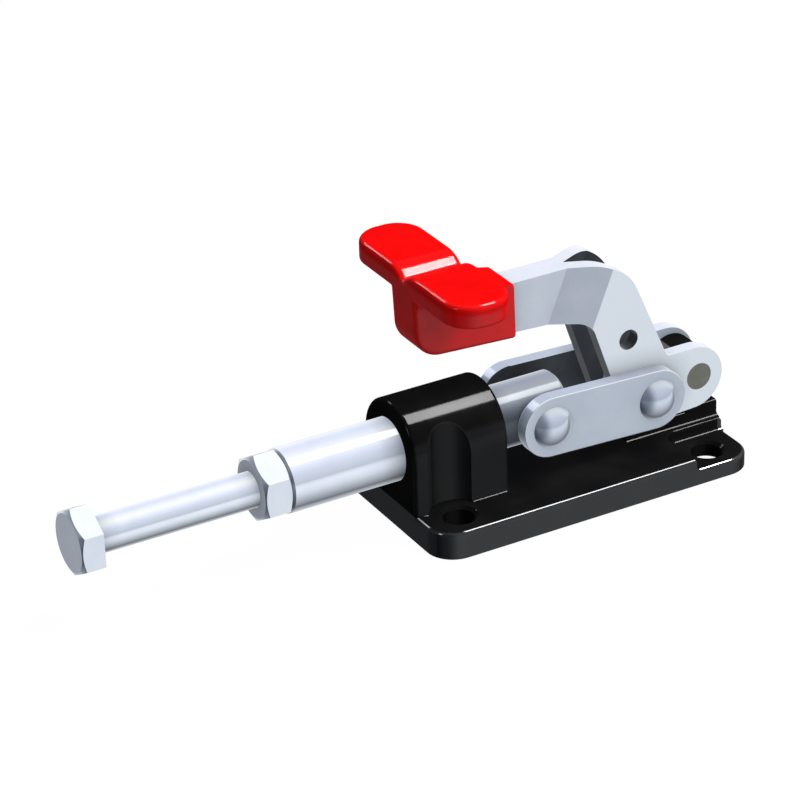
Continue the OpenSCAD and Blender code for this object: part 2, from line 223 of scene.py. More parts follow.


# %% [markdown]
# ## Bright zinc plate
# The plunger, the spindle and all the sheet parts are steel with a thin bright zinc plate: a cool, bluish metal
# that is neither a mirror nor dull. A plain grey with one roughness looks like plastic. The real plate carries
# soft patches where the bath ran, and the finest grain of the rolled or turned steel shows through it. So the
# colour drifts a little, and the roughness and a very shallow bump follow a grain along the piece.
#
# Shade is painted into the plate's colour too. The plunger's rear, towards and inside the barrel, is painted darker
# as shade, and its flanks there, beside the links, darker still. The handle behind its fold is painted lighter, as
# painted light. Where two pieces nearly touch, a painted contact shade darkens the colour. That could be painted by
# hand for every joint. Here each point asks how much of the sky it sees within a few millimetres, and darkens with
# what is missing. A point that another piece covers altogether keeps its plain colour, so that nothing black slides
# out of the barrel when the clamp opens.

# %% Zinc, rolled and turned
ZINC_LIGHT = (0.82, 0.86, 0.91, 1)
ZINC_COOL = (0.75, 0.80, 0.865, 1)
SHEET_LIGHT = (0.63, 0.685, 0.76, 1)
SHEET_COOL = (0.57, 0.62, 0.70, 1)
HANDLE_LIGHT = (0.66, 0.705, 0.765, 1)
HANDLE_COOL = (0.59, 0.64, 0.71, 1)
# Painted light: the handle behind its fold is a lighter colour
HANDLE_REAR_PAINTED_LIGHT = (0.87, 0.92, 0.96, 1)
# Painted highlight for the handle's upward-facing walls
TOP_WALL_HIGHLIGHT = (0.93, 0.95, 0.97, 1)
TOP_WALL_HIGHLIGHT_COOL = (0.84, 0.875, 0.92, 1)
# Lighter rounds on the near pieces: partly wear, partly a painted highlight
EDGE_WORN_HIGHLIGHT = (0.85, 0.87, 0.89, 1)
EDGE_WORN_HIGHLIGHT_COOL = (0.78, 0.81, 0.84, 1)
WALL_LIGHT = (0.56, 0.61, 0.68, 1)
WALL_COOL = (0.50, 0.55, 0.63, 1)
# Painted shade on the plunger: its rear towards and inside the barrel, and its flanks there beside the links
PAINTED_SHADE_REAR = (0.35, 0.38, 0.42, 1)
PAINTED_SHADE_FLANK = (0.12, 0.13, 0.15, 1)
# Painted shade for the plates' inner faces, the handle's front walls and its open hole
PAINTED_SHADE_LIGHT = (0.05, 0.057, 0.066, 1)
PAINTED_SHADE_DEEP = (0.018, 0.02, 0.024, 1)
DOME_LIGHT = (0.67, 0.725, 0.80, 1)
DOME_COOL = (0.59, 0.65, 0.73, 1)
# How near a neighbour must be to cast the painted contact shade, how much it darkens at most, and the shares of sky
# between which it counts as covered
NEAR_MM, CONTACT_SHADE = 7, 0.95
COVERED, OPEN = 0.02, 0.15


def zinc(name, light, cool, grain_stretch, metallic, roughness, grain_mm=0.22, behind=None, flank=None,
         lean_deg=0):
    """Zinc plate. behind holds two x places in mm and the colour that it turns to between them, towards the
    rear, across a border that leans by lean_deg. flank is the same outwards from the middle plane, behind it."""
    finish = Finish(name, Metallic=metallic)
    patches = finish.noise(9, detail=3).step(0.3, 0.7)
    grain = finish.noise(grain_mm, detail=4, roughness=0.6, stretch=grain_stretch)
    speckle = finish.noise(0.9, detail=3).step(0.45, 0.75)
    colour = finish.blend(patches * 0.6 + speckle * 0.15, light, cool)
    if behind is not None:
        rear, front, other = behind
        lean = math.radians(lean_deg)
        forwards = finish.axis("X") * math.cos(lean) + finish.axis("Z") * math.sin(lean)
        in_front = forwards.step(rear * MM, front * MM)
        colour = finish.blend(in_front, other, colour)
    if flank is not None:
        inner, outer, other = flank
        on_flank = finish.axis("Y").math("ABSOLUTE").step(inner * MM, outer * MM)
        colour = finish.blend(on_flank * (1 - in_front), colour, other)
    # Painted contact shade: the colour darkens where nearby pieces hide the sky, but not where a piece covers it
    # altogether
    open_sky = finish.node("AmbientOcclusion", {"samples": 8}, {"Distance": NEAR_MM * MM}, output="AO")
    contact_shade = (1 - open_sky) * open_sky.step(COVERED, OPEN) * CONTACT_SHADE
    finish.set("Base Color", finish.multiply(colour, 1 - contact_shade))
    finish.set("Roughness", roughness + patches * 0.03 + grain * 0.05)
    finish.set("Normal", finish.bump(grain, 0.0006))
    return finish.material


TURNED, PRESSED = (0.6, 12, 12), (1, 1, 1)
ROLLED, SHEARED, SMEARED = (14, 1, 1.5), (1, 14, 1), (3, 1, 1)
FOLD_DEG = 22.3

zinc_turned = zinc("zinc_turned", ZINC_LIGHT, ZINC_COOL, TURNED, metallic=1.0, roughness=0.09)
# The plunger's rear is painted darker as shade, and its flanks beside the links darker still
zinc_plunger = zinc("zinc_plunger", ZINC_LIGHT, ZINC_COOL, TURNED, metallic=1.0, roughness=0.09,
                    behind=(30, 62, PAINTED_SHADE_REAR), flank=(4.5, 9, PAINTED_SHADE_FLANK))
zinc_pressed = zinc("zinc_pressed", ZINC_LIGHT, ZINC_COOL, PRESSED, metallic=1.0, roughness=0.12, grain_mm=0.5)
zinc_dome = zinc("zinc_dome", DOME_LIGHT, DOME_COOL, PRESSED, metallic=0.85, roughness=0.1, grain_mm=0.5)
zinc_sheet = zinc("zinc_sheet", SHEET_LIGHT, SHEET_COOL, ROLLED, metallic=0.8, roughness=0.3, grain_mm=0.16)
# Behind the fold the handle is painted lighter, as painted light
zinc_handle = zinc("zinc_handle", HANDLE_LIGHT, HANDLE_COOL, ROLLED, metallic=0.8, roughness=0.26,
                   grain_mm=0.16, behind=(9.8, 10.3, HANDLE_REAR_PAINTED_LIGHT), lean_deg=FOLD_DEG)
# Painted highlight: the handle's upward-facing cut walls are a lighter colour
zinc_cut_painted_highlight = zinc("zinc_cut_painted_highlight", TOP_WALL_HIGHLIGHT, TOP_WALL_HIGHLIGHT_COOL, SHEARED, metallic=0.9, roughness=0.24, grain_mm=0.2)
zinc_rolled = zinc("zinc_rolled", WALL_LIGHT, WALL_COOL, SHEARED, metallic=0.95, roughness=0.12, grain_mm=0.2)
# The rounds' finish: partly wear, partly a painted highlight
zinc_edge_worn_highlight = zinc("zinc_edge_worn_highlight", EDGE_WORN_HIGHLIGHT, EDGE_WORN_HIGHLIGHT_COOL, PRESSED, metallic=0.9, roughness=0.18, grain_mm=0.2)
# Painted shade for inner faces and the handle's front walls. Behind x = -36 mm it gives way to the plain sheet
# colour
zinc_painted_shade = zinc("zinc_painted_shade", PAINTED_SHADE_LIGHT, PAINTED_SHADE_DEEP, SMEARED, metallic=0.7, roughness=0.3,
                    behind=(-36, -33, SHEET_COOL))
print("zinc finishes:", sum(material.name.startswith("zinc") for material in bpy.data.materials))

# %% [markdown]
# ## Black paint over a casting
# The base is cast and painted a deep gloss black. An ordinary clear varnish would shine white wherever it is
# seen at a low angle, and the flat top of the plate would turn grey. This paint stays black there and mirrors only
# the lamp, sharply. So its gloss is a glaze that returns the same small share of the light at every angle. The
# thick paint never lies quite flat, and two bumps, slow waves of the casting and a finer orange peel, disturb it.
# The gloss isn't the same everywhere. The paint runs down and lies thickest on the plate's outer walls, which
# shine most. The sunk pads round the rear holes stay plain on top. The barrel's flanks and the pockets for the
# front screws are a little glossier than the plate's top, which cloths and tools rub.

# %% Gloss black paint
BLACK = (0.0028, 0.0028, 0.003, 1)
BLACK_WARM = (0.006, 0.0058, 0.0055, 1)

paint = Finish("black_paint", Specular_IOR_Level=0.0, Roughness=0.6)
cast_waves = paint.noise(2.6, detail=2)
orange_peel = paint.noise(0.55, detail=1)
paint_patches = paint.noise(11, detail=2).step(0.3, 0.7)
paint.set("Base Color", paint.blend(paint_patches, BLACK, BLACK_WARM))
paint_skin = paint.bump(orange_peel, 0.0012, under=paint.bump(cast_waves, 0.006))
paint.set("Normal", paint_skin)

# %% Where the paint shines more
# The plate, in mm: half its length and width, the radius of its corners and its thickness, then the sunk pads'
# height and front end, the places of the holes, and the radius of the pockets for the front screws
BASE_LONG, BASE_WIDE, CORNER, THICK = 50.5, 27.5, 8, 8
PAD_TOP, PAD_FRONT = 4.6, -31.2
HOLE_X, HOLE_Y, POCKET_R = 40, 18.5, 8.2
# Shares of light that the glaze returns: everywhere, how far that drifts, on the outer walls, and on the flanks
GLOSS, GLOSS_DRIFT, WALL_GLOSS, FLANK_GLOSS = 0.0036, 0.0008, 0.046, 0.011

above_bench = paint.axis("Z")
across = paint.axis("Y").math("ABSOLUTE")
along = paint.axis("X").math("ABSOLUTE")
low_down = 1 - above_bench.step((THICK - 0.5) * MM, (THICK - 0.03) * MM)
off_the_pads_top = (above_bench - PAD_TOP * MM).math("ABSOLUTE").step(0.03 * MM, 0.08 * MM)
before_the_pads = paint.axis("X").step((PAD_FRONT - 0.3) * MM, PAD_FRONT * MM)
off_pad = off_the_pads_top.math("MAXIMUM", before_the_pads)
past_x = (along - (BASE_LONG - CORNER) * MM).math("MAXIMUM", 0.0)
past_y = (across - (BASE_WIDE - CORNER) * MM).math("MAXIMUM", 0.0)
outside = ((past_x ** 2 + past_y ** 2) ** 0.5 / MM).step(CORNER - 1.4, CORNER - 1.2)
above_plate = above_bench.step((THICK + 0.1) * MM, (THICK + 0.6) * MM)
beside = across.step(12.2 * MM, 13.2 * MM) * above_plate
from_hole = ((along - HOLE_X * MM) ** 2 + (across - HOLE_Y * MM) ** 2) ** 0.5 / MM
in_pocket = (1 - from_hole.step(POCKET_R - 0.1, POCKET_R + 0.1)) * above_plate
gloss = (GLOSS + paint_patches * GLOSS_DRIFT + low_down * off_pad * outside * WALL_GLOSS
         + beside.math("MAXIMUM", in_pocket) * FLANK_GLOSS)
paint.glaze(gloss, 0.09 + paint_patches * 0.03, paint_skin)
black_paint = paint.material
print("black paint:", len(paint.tree.nodes), "nodes")

# %% [markdown]
# ## Bare steel of the pins
# The pivot pin is ground and left bare with a film of oil, so its end is a dull olive grey, darker than the
# plate around it. A fine bump breaks its shine, and the film lies unevenly, so its colour drifts between two tones.

# %% Oiled steel
STEEL_OLIVE = (0.22, 0.22, 0.18, 1)
STEEL_GREY = (0.27, 0.27, 0.235, 1)

oiled = Finish("oiled_steel", Metallic=0.4)
oil_film = oiled.noise(2.5, detail=3).step(0.3, 0.75)
oiled.set("Base Color", oiled.blend(oil_film, STEEL_OLIVE, STEEL_GREY))
oiled.set("Roughness", 0.42 + oil_film * 0.08)
oiled.set("Normal", oiled.bump(oiled.noise(0.3, detail=3), 0.001))
oiled_steel = oiled.material
print("oiled steel:", len(oiled.tree.nodes), "nodes")

# %% [markdown]
# ## Red moulded plastic
# The grip is a glossy moulded plastic in a full, saturated red. Plastic carries its colour in the body and a
# colourless gloss on top, so the base colour stays red and the highlights stay white. Mouldings shrink a little
# unevenly, which shows as slow waves in the reflections. The mould is polished on its walls, which hands never
# rub, and the flat top and the tab that reaches back over the handle are rubbed a little dull.

# %% Glossy red
RED = (0.97, 0.0025, 0.0025, 1)
RED_DEEP = (0.88, 0.002, 0.0025, 1)

red = Finish("red_plastic", Specular_IOR_Level=0.0, Roughness=0.6)
red_patches = red.noise(8, detail=2).step(0.3, 0.7)
red.set("Base Color", red.blend(red_patches, RED, RED_DEEP))
red_skin = red.bump(red.noise(0.7, detail=2), 0.0003, under=red.bump(red.noise(6.0, detail=2), 0.004))
red.set("Normal", red_skin)
# Shares of light that the glaze returns: everywhere, what the walls add, and what rubbing takes away
RED_GLOSS, POLISH, RUBBED = 0.0075, 0.019, 0.005
# The walls end below the wings' rims, the flat top is the last tenth of a millimetre, and the tab is the top of the
# sleeve behind the wings
above_bench = red.axis("Z")
walls = 1 - above_bench.step(70.8 * MM, 72.2 * MM)
flat_top = above_bench.step(74.08 * MM, 74.16 * MM)
tab = (1 - red.axis("X").step(25.4 * MM, 26.2 * MM)) * above_bench.step(64.6 * MM, 65.2 * MM)
gloss = RED_GLOSS + walls * (1 - tab) * POLISH - tab.math("MAXIMUM", flat_top) * RUBBED
red.glaze(gloss, 0.035 + red_patches * 0.02, red_skin)
red_plastic = red.material
print("red plastic:", len(red.tree.nodes), "nodes")

# %% Put the finishes on the carried pieces
finish_of = {
    "base_casting": black_paint,
    "pivot_bush": oiled_steel,
    "plunger": zinc_plunger,
    "spindle_bolt": zinc_turned,
    "jam_nut": zinc_pressed,
    "link_left": zinc_sheet,
    "link_right": zinc_sheet,
    "plunger_rivet": zinc_dome,
    "link_rivet_head_left": zinc_dome,
    "link_rivet_head_right": zinc_dome,
    "link_pin": oiled_steel,
    "link_spacer": zinc_turned,
    "handle_plate_left": zinc_handle,
    "handle_plate_right": zinc_handle,
    "handle_rivet_front": oiled_steel,
    "handle_rivet_rear": oiled_steel,
    "pivot_pin": oiled_steel,
    "grip": red_plastic,
}
for name, material in finish_of.items():
    node = nodes[name]
    node.data.materials.clear()
    node.data.materials.append(material)
print("finished nodes:", len(finish_of), "of", len(nodes))

# %% [markdown]
# ## Edges that catch the light
# No real edge is sharp. Blanked sheet, pressed hexagons and castings all end in a small round, and in the photo
# that round is a thin bright line along every edge. A normal map could fake the line, but it would stop at the
# outline. So each of these solids gets a twin: a copy of its mesh with the doubled corners merged and the flat
# facets joined, and a narrow Bevel on every edge that turns by more than a set angle. The twin has the solid's
# exact form and takes its place in the picture. On the near link and handle plate, the spindle and the nut, the
# round has a finish of its own, a little lighter than the faces: partly wear where tools and hands rub, partly a
# painted highlight. The handle's plates fold by only 22 degrees, so their angle is set lower, or the
# smooth shading would wash the fold away.
#
# The links and the handle's plates are blanked from sheet, so their faces differ: the outside is clean, and the cut
# walls show the shear. The inside, the handle's front walls and its open hole are painted dark as painted shade,
# and the handle's upper walls are painted lighter as a painted highlight. The direction in which a face looks, and
# for the open hole its place, tells them apart.

# %% Who rides where
record = frame["record"]
body_of = {name: body for body, names in record["behaviour"]["bodies"].items() for name in names}


def stands_for(piece, *names):
    """Lets a finished piece take the place of carried nodes: their body and their picture."""
    bpy.context.scene.collection.objects.link(piece)
    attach(piece, body_of[names[0]])
    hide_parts(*names)


# %% Copies that may be finished
WELD = 0.002 * MM
FLAT_DEG = 0.5


def merged_mesh(name):
    """A copy of a carried node's mesh, closed along its facets, with coplanar facets joined."""
    mesh = bpy.data.meshes.new(name + "_mesh")
    work = bmesh.new()
    work.from_mesh(nodes[name].data)
    bmesh.ops.remove_doubles(work, verts=work.verts, dist=WELD)
    bmesh.ops.dissolve_degenerate(work, dist=WELD, edges=work.edges)
    bmesh.ops.dissolve_limit(work, angle_limit=math.radians(FLAT_DEG), verts=work.verts, edges=work.edges)
    bmesh.ops.recalc_face_normals(work, faces=work.faces)
    work.to_mesh(mesh)
    work.free()
    return mesh


# %% Faces of the sheet parts
OPEN_HOLE, OPEN_HOLE_R = Vector((-19.9, 40.3)) * MM, 3.2 * MM


def sheet_faces(mesh, name):
    """Gives a plate beside the middle plane its finishes: clean outside, inside painted dark as shade, bright walls
    on the links, and on the handle upper walls painted lighter as a highlight, and front walls and the open hole
    painted dark as shade."""
    on_handle = finish_of[name] == zinc_handle
    slots = {"clean": 0, "edge": 1, "wall": 2, "painted_shade": 3}
    for material in (finish_of[name], zinc_edge_worn_highlight, zinc_cut_painted_highlight if on_handle else zinc_rolled, zinc_painted_shade):
        mesh.materials.append(material)
    for face in mesh.polygons:
        outwards = face.normal.y * math.copysign(1, face.center.y)
        in_hole = (face.center.xz - OPEN_HOLE).length < OPEN_HOLE_R
        # Inner faces, the handle's front walls and its open hole get the painted shade
        if abs(outwards) > 0.5:
            finish = "painted_shade" if outwards < 0 else "clean"
        elif on_handle and (in_hole or face.normal.x > 0.35):
            finish = "painted_shade"
        else:
            # The handle's upper walls get the painted highlight
            finish = "wall" if face.normal.z > 0.3 or not on_handle else "clean"
        face.material_index = slots[finish]


# %% Twins with rounded edges
# The near pieces, the spindle and its nut: their rounds are lighter, partly wear and partly a painted highlight
WORN_HIGHLIGHTED_EDGES = ("link_left", "handle_plate_left", "spindle_bolt", "jam_nut")
EDGE_SLOT = 1


def eased(name, width_mm, turn_deg=35):
    """The twin of a node, with every edge rounded that turns by more than turn_deg."""
    mesh = merged_mesh(name)
    if finish_of[name] in (zinc_sheet, zinc_handle):
        sheet_faces(mesh, name)
    else:
        mesh.materials.append(finish_of[name])
        if name in WORN_HIGHLIGHTED_EDGES:
            mesh.materials.append(zinc_edge_worn_highlight)
    mesh.shade_smooth()
    mesh.set_sharp_from_angle(angle=math.radians(turn_deg))
    piece = bpy.data.objects.new(name + "_eased", mesh)
    edge = piece.modifiers.new("edge", "BEVEL")
    if name in WORN_HIGHLIGHTED_EDGES:
        edge.material = EDGE_SLOT
    edge.width = width_mm * MM
    edge.segments = 3
    edge.limit_method = "ANGLE"
    edge.angle_limit = math.radians(turn_deg)
    flats = piece.modifiers.new("flats", "WEIGHTED_NORMAL")
    flats.weight = 100
    flats.keep_sharp = True
    stands_for(piece, name)
    print(name, "eased by", width_mm, "mm,", len(mesh.polygons), "faces before the bevel")


for name in ("link_left", "link_right"):
    eased(name, 0.35)
for name in ("handle_plate_left", "handle_plate_right"):
    eased(name, 0.35, turn_deg=20)
for name in ("spindle_bolt", "jam_nut"):
    eased(name, 0.2, turn_deg=25)
eased("plunger", 0.12)
eased("base_casting", 0.45, turn_deg=40)

# %% [markdown]
# ## Domed rivets
# Both pivots of a link end in a domed head, closed with the same tool, so all four are one shape in four places.
# Four spheres could be cut by hand. Here the shape is a rule: a flat grid is bent into a dome by two formulas, one
# for the way round and one for the way down, and a rod is added for the shank. Geometry Nodes work this out, with
# the sizes as named inputs. Each dome is then set on a point, turned by the side that the point is on.

# %% A node tree that can be called like a material
class Recipe(Finish):
    """A Geometry Nodes tree, built with the same calls as a material's."""

    def __init__(self, name, sizes):
        self.tree = bpy.data.node_groups.new(name, "GeometryNodeTree")
        self.sockets = {"Geometry": self.add_socket("Geometry", "INPUT", "Geometry")}
        for label in sizes:
            self.sockets[label] = self.add_socket(label, "INPUT", "Float")
        self.add_socket("Geometry", "OUTPUT", "Geometry")
        entry = self.tree.nodes.new("NodeGroupInput")
        self.inputs = {label: Value(self, entry.outputs[label]) for label in self.sockets}

    def add_socket(self, label, way, kind):
        return self.tree.interface.new_socket(name=label, in_out=way, socket_type="NodeSocket" + kind)

    def joined(self, *parts):
        node = self.tree.nodes.new("GeometryNodeJoinGeometry")
        for part in parts:
            self.tree.links.new(part.socket, node.inputs[0])
        return Value(self, node.outputs[0])

    def end(self, geometry):
        self.tree.links.new(geometry.socket, self.tree.nodes.new("NodeGroupOutput").inputs[0])


def applied(name, points, recipe, sizes, attributes):
    """Runs a recipe on a mesh of loose points and returns the plain mesh that it makes."""
    seed = bpy.data.meshes.new(name + "_points")
    seed.from_pydata(points, [], [])
    for label, values in attributes.items():
        seed.attributes.new(label, "FLOAT", "POINT").data.foreach_set("value", values)
    carrier = bpy.data.objects.new(name, seed)
    modifier = carrier.modifiers.new("recipe", "NODES")
    modifier.node_group = recipe.tree
    for label, value in sizes.items():
        modifier[recipe.sockets[label].identifier] = value
    bpy.context.scene.collection.objects.link(carrier)
    mesh = bpy.data.meshes.new_from_object(carrier.evaluated_get(bpy.context.evaluated_depsgraph_get()))
    bpy.data.objects.remove(carrier)
    return mesh


# %% The rivet as a rule
ROUND_STEPS, DOWN_STEPS = 72, 30
FOOT = 0.9

rivet = Recipe("domed_rivets", ("Dome Diameter", "Dome Height", "Shank Diameter"))
foot_r = rivet.inputs["Dome Diameter"] * 0.5
dome_h = rivet.inputs["Dome Height"]
ball_r = (foot_r * foot_r + dome_h * dome_h) / (dome_h * 2)
grid = rivet.node("GeometryNodeMeshGrid", None, {"Size X": 1.0, "Size Y": 1.0, "Vertices X": ROUND_STEPS + 1,
                                                 "Vertices Y": DOWN_STEPS + 1})
on_grid_x, on_grid_y = rivet.outputs("SeparateXYZ", [rivet.node("GeometryNodeInputPosition")], "X", "Y")
turn = (on_grid_x + 0.5) * math.tau
down = on_grid_y + 0.5
# The first nine tenths of the way down follow the ball, the last tenth closes the flat foot
along_ball = (down / FOOT).math("MINIMUM", 1.0) * (foot_r / ball_r).math("ARCSINE")
to_centre = 1 - ((down - FOOT) / (1 - FOOT)).math("MAXIMUM", 0.0)
radius = ball_r * along_ball.math("SINE") * to_centre
height = dome_h - ball_r * (1 - along_ball.math("COSINE"))
bent = rivet.node("CombineXYZ", None, [radius * turn.math("COSINE"), radius * turn.math("SINE"), height])
dome = rivet.node("GeometryNodeSetPosition", None, {"Geometry": grid, "Position": bent})
dome = rivet.node("GeometryNodeMergeByDistance", None, {"Geometry": dome, "Distance": 0.001 * MM})
shank = rivet.node("GeometryNodeMeshCylinder", None, {"Vertices": ROUND_STEPS, "Depth": 1.0,
                                                      "Radius": rivet.inputs["Shank Diameter"] * 0.5})
shank = rivet.node("GeometryNodeTransform", None, {"Geometry": shank, "Translation": (0, 0, -0.5)})

# %% Set on its points
side = rivet.node("GeometryNodeInputNamedAttribute", None, {"Name": "side"})
depth = rivet.node("GeometryNodeInputNamedAttribute", None, {"Name": "depth"})
facing = rivet.node("FunctionNodeEulerToRotation", None,
                    [rivet.node("CombineXYZ", None, [side * math.radians(-90), 0.0, 0.0])])
long = rivet.node("CombineXYZ", None, [1.0, 1.0, depth])
domes = rivet.node("GeometryNodeInstanceOnPoints", None,
                   {"Points": rivet.inputs["Geometry"], "Instance": dome, "Rotation": facing})
shanks = rivet.node("GeometryNodeInstanceOnPoints", None,
                    {"Points": rivet.inputs["Geometry"], "Instance": shank, "Rotation": facing, "Scale": long})
real = rivet.node("GeometryNodeRealizeInstances", None, {"Geometry": rivet.joined(domes, shanks)})
rivet.end(rivet.node("GeometryNodeSetMaterial", None, {"Geometry": real, "Material": zinc_dome}))
print("the rivets' tree has", len(rivet.tree.nodes), "nodes")

# %% Four rivet heads
DOME_DIAMETER, DOME_HEIGHT, SHANK_DIAMETER = 12 * MM, 3.6 * MM, 9 * MM
places, sides, depths = [], [], []
rivet_ends = {"plunger_rivet": (-1, 1), "link_rivet_head_left": (1,), "link_rivet_head_right": (-1,)}
for name, ends in rivet_ends.items():
    low, high = (Vector(corner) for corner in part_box(name))
    middle = (low + high) / 2
    for end in ends:
        face = (high.y if end > 0 else -low.y) - DOME_HEIGHT
        places.append((middle.x, end * face, middle.z))
        sides.append(end)
        depths.append(face if len(ends) == 2 else high.y - low.y - DOME_HEIGHT)
rivet_sizes = {"Dome Diameter": DOME_DIAMETER, "Dome Height": DOME_HEIGHT, "Shank Diameter": SHANK_DIAMETER}
rivet_mesh = applied("link_rivets", places, rivet, rivet_sizes, {"side": sides, "depth": depths})
rivet_mesh.shade_smooth()
rivet_mesh.set_sharp_from_angle(angle=math.radians(40))
stands_for(bpy.data.objects.new("link_rivets", rivet_mesh), *rivet_ends)
print("rivet heads:", len(places), "faces:", len(rivet_mesh.polygons))

# %% [markdown]
# ## The moulded grip
# The grip is one moulding, poured round the two plates. Its wings are a rounded slab with a valley across it, whose
# flanks swell outwards and meet in a small groove, and below them a sleeve with a big round nose holds the plates.
# Both are built the same way: an outline, then ring after ring of it, drawn in by the round of the rim. The rings
# keep the rims exact, which the solid's coarse hull can't. A voxel net then joins the bodies into one skin, and a
# short smoothing rounds the inner corners.

# %% Rings of an outline
# Sizes in mm. The valley's flanks and its groove are arcs
WING_FRONT, WING_LENGTH, WING_SPAN, WING_CORNER = 45.3, 18.9, 58.6, 8.4
WING_BOTTOM, WING_TOP, WING_RIM, WING_UNDER_RIM = 67.6, 74.2, 1.6, 0.8
VALLEY_HALF, FLANK_R, GROOVE_R = 7.0, 9.3, 1.5
SLEEVE_HALF = 6.5
# The sleeve from the side. Each row: x and z of a corner's centre, its radius, and the round of its rim
SLEEVE_CORNERS = ((36.8, 57.8, 8.0, 1.5), (42.3, 68.6, 3.0, 1.5), (15.8, 64.0, 1.4, 0.7), (15.0, 49.9, 1.0, 0.7))


def rings_to_mesh(rings, cap_first, cap_last):
    """A bmesh of rings of equal length, joined in order. Each cap is a list of faces, as indices in its ring."""
    work = bmesh.new()
    rows = [[work.verts.new(Vector(p) * MM) for p in ring] for ring in rings]
    for low, high in zip(rows, rows[1:]):
        for i in range(len(low)):
            j = (i + 1) % len(low)
            work.faces.new((low[i], low[j], high[j], high[i]))
    for row, cap in ((rows[0], cap_first), (rows[-1], cap_last)):
        for face in cap:
            work.faces.new([row[i] for i in face])
    bmesh.ops.recalc_face_normals(work, faces=work.faces)
    return work


def quarter(radius, steps=8):
    """Pairs of inset and drop for a quarter round, from the wall to the flat."""
    for i in range(steps + 1):
        angle = math.radians(90 * i / steps)
        yield radius * (1 - math.cos(angle)), radius * (1 - math.sin(angle))


def arc(x, y, radius, start, steps=20):
    """Points of a quarter circle. One that leaves a straight side lacks its first point, the other its last."""
    first = 1 if start % 180 == 0 else 0
    turns = [math.radians(start + 90 * (first + i) / steps) for i in range(steps)]
    return [(x + radius * math.cos(t), y + radius * math.sin(t)) for t in turns]


def wing_outline(inset):
    """Points round the wings, seen from above, with the same y stations on the front and the rear side."""
    reach = WING_SPAN / 2 - WING_CORNER
    stations = [-reach, -14, -10, -8] + [VALLEY_HALF * i / 24 for i in range(-24, 25)] + [8, 10, 14, reach]
    front, rear = WING_FRONT, WING_FRONT - WING_LENGTH
    radius = WING_CORNER - inset
    points = [(front - inset, y) for y in stations]
    points += arc(front - WING_CORNER, reach, radius, 0) + arc(rear + WING_CORNER, reach, radius, 90)
    points += [(rear + inset, y) for y in reversed(stations)]
    points += arc(rear + WING_CORNER, -reach, radius, 180) + arc(front - WING_CORNER, -reach, radius, 270)
    return points, len(stations)


def valley(y):
    """How far the top lies under the wings' flat top: round flanks that meet in a small groove."""
    across = abs(y)
    if across >= VALLEY_HALF:
        return 0.0
    steepest = math.asin(VALLEY_HALF / (FLANK_R + GROOVE_R))
    if across > GROOVE_R * math.sin(steepest):
        return FLANK_R - math.sqrt(FLANK_R ** 2 - (VALLEY_HALF - across) ** 2)
    depth = (FLANK_R + GROOVE_R) * (1 - math.cos(steepest))
    return depth - GROOVE_R + math.sqrt(GROOVE_R ** 2 - across ** 2)


print("points round the wings:", len(wing_outline(0)[0]), "the valley is", round(valley(0), 2), "mm deep")


# %% Wings
def wings():
    """Rings up the rim under the wings, then up the rim over them, which follows the valley."""
    rings = []
    for inset, drop in reversed(list(quarter(WING_UNDER_RIM))):
        rings.append([(x, y, WING_BOTTOM + drop) for x, y in wing_outline(inset)[0]])
    for inset, drop in quarter(WING_RIM):
        rings.append([(x, y, WING_TOP - valley(y) - drop) for x, y in wing_outline(inset)[0]])
    points, sides = wing_outline(0)
    rear = len(points) // 2
    across = [(i, i + 1, rear + sides - 2 - i, rear + sides - 1 - i) for i in range(sides - 1)]
    far_end = [0, rear + sides - 1] + list(range(rear + sides, len(points)))
    near_end = list(range(sides - 1, rear + 1))
    return rings_to_mesh(rings, [list(range(len(points)))], across + [far_end, near_end])


# %% Sleeve
def sleeve():
    """The sleeve's outline is what a string round its four corners would touch, in each of 180 directions."""
    outline = []
    for i in range(180):
        turn = math.radians(2 * i)
        way = (math.cos(turn), math.sin(turn))
        outline.append((max(SLEEVE_CORNERS, key=lambda c: c[0] * way[0] + c[1] * way[1] + c[2]), way))
    rings = []
    for side in (-1, 1):
        for inset, drop in list(quarter(1.0))[::side]:
            rings.append([(x + (radius - inset * rim) * way[0], side * (SLEEVE_HALF - drop * rim),
                           z + (radius - inset * rim) * way[1]) for (x, z, radius, rim), way in outline])
    whole = [list(range(len(outline)))]
    return rings_to_mesh(rings, whole, whole)


# %% Fillets under the wings
FILLET_ENDS = (WING_FRONT - WING_LENGTH + 1.2, WING_FRONT - 1.0)


def root_fillet(side, radius=3.0, over=0.6, steps=12):
    """A bar that fills the corner between a wing and the sleeve. It reaches into both by over."""
    y_mid, z_mid = SLEEVE_HALF + radius, WING_BOTTOM - radius
    section = [(SLEEVE_HALF - over, WING_BOTTOM + over), (SLEEVE_HALF - over, z_mid)]
    for i in range(steps + 1):
        turn = math.radians(180 - 90 * i / steps)
        section.append((y_mid + radius * math.cos(turn), z_mid + radius * math.sin(turn)))
    section.append((y_mid, WING_BOTTOM + over))
    rings = [[(x, side * y, z) for y, z in section] for x in FILLET_ENDS]
    whole = [list(range(len(section)))]
    return rings_to_mesh(rings, whole, whole)


# %% One skin over the parts of the grip
GRIP_NET_MM = 0.25


